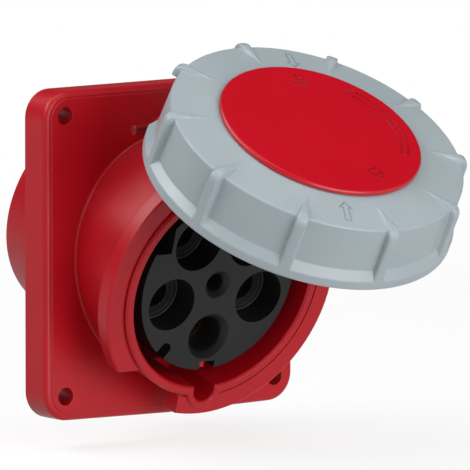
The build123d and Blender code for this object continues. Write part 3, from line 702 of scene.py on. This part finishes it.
def buildEntries():
    depths = entrySpec["depths"]
    beads, funnels = bmesh.new(), bmesh.new()
    for mount in entrySpec["phaseMounts"]:
        for profile in (entrySpec["bead"], entrySpec["step"]):
            turnRing(beads, mount, depths["phase"], profile)
    turnRing(funnels, "contact_earth", depths["earth"], entrySpec["earthFunnel"])
    turnRing(funnels, "contact_pilot", depths["pilot"], entrySpec["pilotFunnel"])
    meshPiece("entryBeads", beads, "base", "entryBeadHighlight")
    meshPiece("entryFunnels", funnels, "base", "insert")


buildEntries()
print("entries: funnels and beads in the insert")


# stage: a pale floor that only the camera sees, so that the studio's white lights the part from below too
stage = {
    "radius": 1.6, "segments": 96, "fadeStart": 0.25, "fadeEnd": 0.9, "colour": (0.25, 0.25, 0.25),
    "lift": 0.8,
    "gap": 11.0,  # millimetres under the flange, so that the ring clears the floor when the lid is shut
}


def buildFloor():
    low, high = cadBox
    middle = (low + high) / 2
    mesh = bpy.data.meshes.new("floor")
    bm = bmesh.new()
    bmesh.ops.create_circle(bm, cap_ends=True, segments=stage["segments"], radius=stage["radius"])
    bmesh.ops.translate(bm, verts=bm.verts, vec=(middle.x, middle.y, low.z - stage["gap"] * mm))
    bm.to_mesh(mesh)
    bm.free()
    floor = bpy.data.objects.new("floor", mesh)
    bpy.context.scene.collection.objects.link(floor)
    material = bpy.data.materials.new("paleFloor")
    material.use_nodes = True
    tree = material.node_tree
    tree.nodes.clear()
    start = Wire(tree)
    flat = start.make("TexCoord", out="Object")
    centre = (middle.x, middle.y, low.z)
    away = flat.make("VectorMath", {"operation": "DISTANCE"}, {0: flat, 1: centre}, "Value")
    fade = ((away - stage["fadeStart"]) / (stage["fadeEnd"] - stage["fadeStart"])).clamp()
    above = 1 - start.make("NewGeometry", out="Backfacing")  # from below the part is seen, not the floor
    shown = (1 - fade) * start.make("LightPath", out="Is Camera Ray") * above
    paint = start.make("BsdfDiffuse", None, {"Color": rgba(stage["colour"])})
    glow = start.make("Emission", None, {"Strength": stage["lift"]})
    lit = start.make("AddShader", None, {0: paint, 1: glow})
    clear = start.make("BsdfTransparent")
    surface = start.make("MixShader", None, {0: shown, 1: clear, 2: lit})
    start.make("OutputMaterial", None, {"Surface": surface})
    mesh.materials.append(material)


# white studio: sky strengths by the sine of the height above the horizon, then the lamps
studio = {
    "mirror": ((-1.0, 0.6), (-0.3, 0.6), (0.0, 0.4), (0.2, 0.05), (0.5, 0.02), (1.0, 0.02)),
    "fill": ((-1.0, 0.15), (-0.3, 0.72), (0.0, 0.03), (0.2, 0.06), (0.5, 0.36), (1.0, 0.06)),
    "lamps": (  # name, azimuth, elevation, distance, size, watts
        ("leftLamp", -80.0, 34.0, 1.1, 0.4, 1.0),
        ("sideLamp", -104.0, 42.0, 1.1, 0.5, 2.8),
        ("cornerLamp", -128.0, 46.0, 1.1, 0.5, 2.0),
        ("rearLamp", -150.0, 50.0, 1.1, 0.5, 1.2),
        ("frontLamp", 0.0, 10.0, 1.1, 1.0, 8.1),
        ("rightLamp", 40.0, 20.0, 1.1, 0.9, 0.8),
        ("topLamp", 0.0, 80.0, 1.1, 0.8, 2.3),
    ),
}


def fromAngles(azimuth, elevation):
    a, e = math.radians(azimuth), math.radians(elevation)
    return Vector((math.sin(a) * math.cos(e), -math.cos(a) * math.cos(e), math.sin(e)))


def lightStudio():
    world = bpy.data.worlds.new("studio")
    bpy.context.scene.world = world
    world.use_nodes = True
    tree = world.node_tree
    tree.nodes.clear()
    start = Wire(tree)
    way = start.make("TexCoord", out="Generated")
    height = start.make("SeparateXYZ", None, {0: way}, "Z") * 0.5 + 0.5
    stops = {key: [(z * 0.5 + 0.5, grey) for z, grey in studio[key]] for key in ("mirror", "fill")}
    mirror, fill = height.ramp(*stops["mirror"]), height.ramp(*stops["fill"])
    seen = start.make("LightPath", out="Is Camera Ray")
    glossy = start.make("LightPath", out="Is Glossy Ray")
    shiny = glossy + start.make("LightPath", out="Is Transmission Ray")
    strength = seen + shiny * mirror + (1 - (seen + shiny).clamp()) * fill
    sky = start.make("Background", None, {"Color": (1, 1, 1, 1), "Strength": strength})
    start.make("OutputWorld", None, {"Surface": sky})
    middle = (cadBox[0] + cadBox[1]) / 2
    for name, azimuth, elevation, distance, size, watts in studio["lamps"]:
        lamp = bpy.data.lights.new(name, "AREA")
        lamp.shape = "DISK"
        lamp.size = size
        lamp.energy = watts
        holder = bpy.data.objects.new(name, lamp)
        bpy.context.scene.collection.objects.link(holder)
        holder.location = middle + fromAngles(azimuth, elevation) * distance
        holder.rotation_euler = (middle - holder.location).to_track_quat("-Z", "Y").to_euler()


camera = {
    "azimuth": -36.2, "elevation": 7.0, "lens": 900.0, "sensor": 36.0, "width": 183.3, "clipEnd": 50.0,
    "target": (20.6, -28.35, 4.74),
}


def placeCamera():
    data = bpy.data.cameras.new("photoView")
    data.lens = camera["lens"]
    data.sensor_width = camera["sensor"]
    data.clip_end = camera["clipEnd"]
    holder = bpy.data.objects.new("photoView", data)
    bpy.context.scene.collection.objects.link(holder)
    back = fromAngles(camera["azimuth"], camera["elevation"])
    distance = camera["width"] * mm * camera["lens"] / camera["sensor"]
    holder.location = Vector(camera["target"]) * mm + back * distance
    holder.rotation_euler = back.to_track_quat("Z", "Y").to_euler()
    bpy.context.scene.camera = holder


buildFloor()
lightStudio()
placeCamera()
bpy.context.scene.view_settings.view_transform = "Standard"
print("stage, lamps and camera set")
